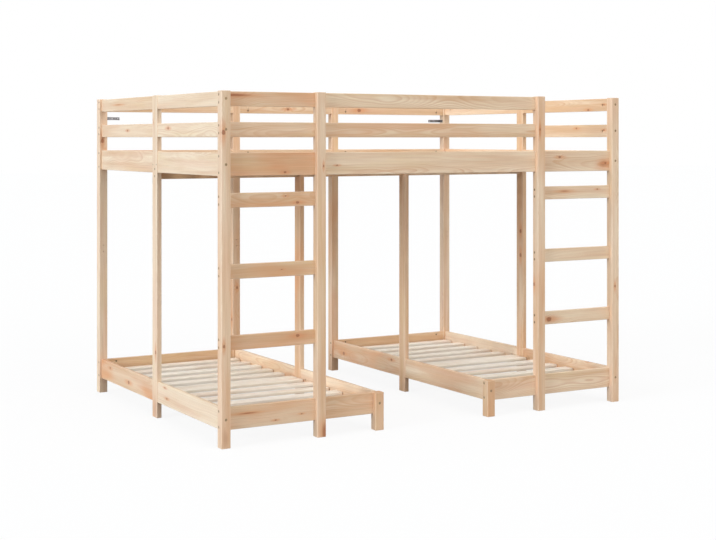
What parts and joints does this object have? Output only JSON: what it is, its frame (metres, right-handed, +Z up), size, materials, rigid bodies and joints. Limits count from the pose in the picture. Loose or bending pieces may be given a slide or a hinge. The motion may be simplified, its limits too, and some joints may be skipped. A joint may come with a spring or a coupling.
{
  "type": "triple bunk bed",
  "caption": "Pine bunk bed with low slatted beds on either side of an open aisle under a wide railed deck, reached by a ladder at each front corner.",
  "frame": {"origin": "on the floor at the middle of the footprint", "axes": "+X to the right across the width as seen from the front, +Y towards the wall side, +Z up"},
  "size_m": [2.8, 2.02, 1.958],
  "materials": {
    "pine_posts": "planed bare pine, pale, long edges eased",
    "pine_boards": "planed bare pine, tan with reddish knots",
    "pine_rails": "planed bare pine, tan with straight grain",
    "pine_slats": "planed bare pine, very pale",
    "zinc_hardware": "bright zinc plate",
    "steel_angles": "plain zinc-plated strip"
  },
  "bodies": {
    "root": {"post_front_left": "pine_posts", "post_front_right": "pine_posts", "post_ladder_left": "pine_posts", "post_ladder_right": "pine_posts", "post_back_left": "pine_posts", "post_back_right": "pine_posts", "post_back_inner_left": "pine_posts", "post_back_inner_right": "pine_posts", "post_mid_left": "pine_posts", "post_mid_right": "pine_posts", "post_mid_inner_left": "pine_posts", "post_mid_inner_right": "pine_posts", "leg_left": "pine_posts", "leg_right": "pine_posts", "front_top_rail_left": "pine_rails", "front_second_rail_left": "pine_rails", "front_board_left": "pine_boards", "front_top_rail_centre": "pine_rails", "front_second_rail_centre": "pine_rails", "front_board_centre": "pine_boards", "front_board_right": "pine_boards", "back_top_rails": "pine_rails", "back_second_rails": "pine_rails", "back_boards": "pine_boards", "left_top_rails": "pine_rails", "left_second_rails": "pine_rails", "left_boards": "pine_boards", "right_top_rails": "pine_rails", "right_second_rails": "pine_rails", "right_boards": "pine_boards", "ladder_rungs_left": "pine_rails", "ladder_rungs_right": "pine_rails", "deck_beam": "pine_rails", "deck_cleats_front": "pine_rails", "deck_cleats_back": "pine_rails", "deck_slats": "pine_slats", "left_bed_outer_rails": "pine_boards", "left_bed_inner_rails": "pine_boards", "left_bed_front_rails": "pine_boards", "left_bed_back_rail": "pine_boards", "left_bed_outer_cleats": "pine_rails", "left_bed_inner_cleats": "pine_rails", "left_bed_slats": "pine_slats", "right_bed_outer_rails": "pine_boards", "right_bed_inner_rails": "pine_boards", "right_bed_front_rails": "pine_boards", "right_bed_back_rail": "pine_boards", "right_bed_outer_cleats": "pine_rails", "right_bed_inner_cleats": "pine_rails", "right_bed_slats": "pine_slats", "cross_bolts": "zinc_hardware", "cross_studs": "zinc_hardware", "long_bolts": "zinc_hardware", "long_studs": "zinc_hardware", "barrel_nuts": "zinc_hardware", "wall_angle_left": "steel_angles", "wall_angle_right": "steel_angles", "angle_screws": "steel_angles"}
  },
  "joints": []
}
